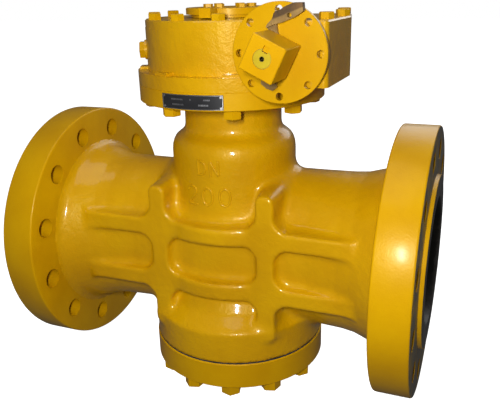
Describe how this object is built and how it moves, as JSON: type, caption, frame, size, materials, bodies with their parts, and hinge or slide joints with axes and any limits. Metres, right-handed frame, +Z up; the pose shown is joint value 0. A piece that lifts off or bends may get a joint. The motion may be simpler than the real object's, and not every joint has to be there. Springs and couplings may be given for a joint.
{
  "type": "plug valve",
  "caption": "Flanged tapered plug valve with a worm gear operator and a lockable square input.",
  "frame": {"origin": "centre of the inlet raised face, on the bore axis", "axes": "+X along the bore towards the outlet, +Z up the stem towards the gear operator"},
  "size_m": [0.66, 0.423, 0.6165],
  "materials": {
    "casting_paint": "glossy yellow paint on cast steel",
    "machined_paint": "glossy yellow paint on machined steel",
    "steel": "machined",
    "dark_steel": "blackened",
    "bronze": "machined bronze",
    "rubber": "moulded",
    "graphite": "pressed graphite",
    "plate": "black nameplate",
    "aluminium": "bright"
  },
  "bodies": {
    "valve": {"valve_body": "casting_paint", "stem_thrust_washer": "bronze", "packing_rings": "graphite", "gland": "steel", "gland_screws": "steel", "bottom_cover": "machined_paint", "cover_gasket": "graphite", "cover_studs": "machined_paint", "cover_nuts": "machined_paint", "adjusting_screw": "machined_paint", "adjuster_locknut": "machined_paint", "thrust_pad": "bronze", "mounting_plate": "machined_paint", "neck_screws": "steel", "mounting_bolts": "machined_paint", "nameplate": "plate", "nameplate_rivets": "aluminium", "gear_housing": "casting_paint", "housing_lid": "casting_paint", "lid_screws": "machined_paint", "side_plug": "machined_paint", "front_bearing": "steel", "rear_bearing": "steel", "rear_end_plug": "machined_paint", "bearing_cover": "machined_paint", "bearing_cover_screws": "steel", "input_seal": "rubber", "lock_disc": "machined_paint", "wheel_thrust_washers": "bronze"},
    "plug_set": {"plug": "steel", "stem": "steel", "stem_key": "steel", "worm_wheel": "bronze", "indicator_cap": "machined_paint", "cap_screws": "machined_paint"},
    "input": {"worm_shaft": "steel", "lock_arm": "dark_steel", "square_block": "machined_paint", "block_key": "steel"}
  },
  "joints": [
    {"name": "plug_turn", "type": "hinge", "parent": "valve", "child": "plug_set", "pos_m": [0.33, 0, 0], "axis": [0, 0, 1], "range_deg": [0, 90]},
    {"name": "input_turn", "type": "hinge", "parent": "valve", "child": "input", "pos_m": [0.46, 0, 0.327], "axis": [0, -1, 0], "range_deg": [0, 3780]}
  ],
  "couplings": [
    {"joint": "input_turn", "follows": "plug_turn", "ratio": 42}
  ]
}
